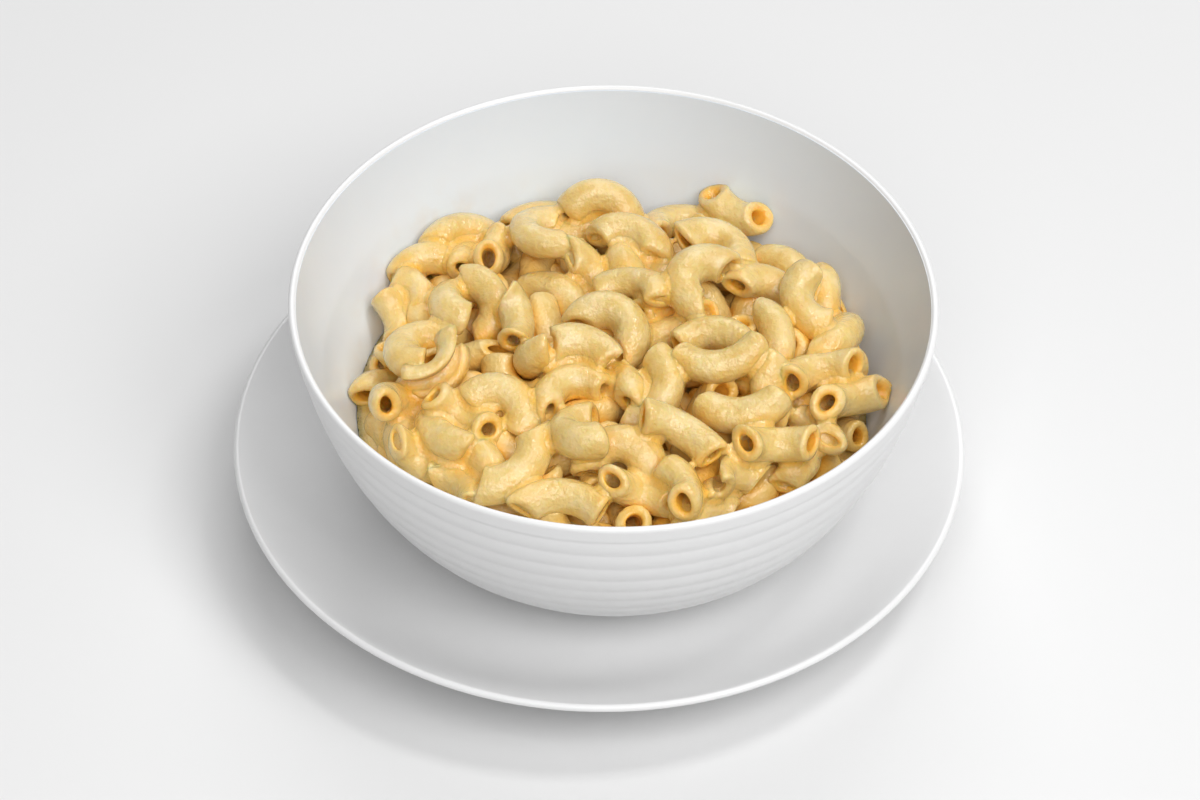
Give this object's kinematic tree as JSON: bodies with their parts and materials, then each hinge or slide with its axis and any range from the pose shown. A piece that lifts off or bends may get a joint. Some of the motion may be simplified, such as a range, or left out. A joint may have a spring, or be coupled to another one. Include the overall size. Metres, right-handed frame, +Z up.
{
  "type": "mac and cheese",
  "caption": "Bowl of macaroni and cheese: a low heap of sauced elbow pasta in a ribbed white bowl that stands on its matching under-plate.",
  "frame": {"origin": "on the table, under the middle of the under-plate", "axes": "+Z up, the round plate lies in XY; -Y faces the viewer; the bowl stands 2.9 mm towards +X of the plate's middle"},
  "size_m": [0.1788, 0.1788, 0.0701],
  "materials": {
    "white_ware": "smooth white glaze, soft gloss",
    "cheese_macaroni": null
  },
  "bodies": {
    "root": {"under_plate": "white_ware", "bowl": "white_ware", "macaroni_heap": "cheese_macaroni"}
  },
  "joints": []
}
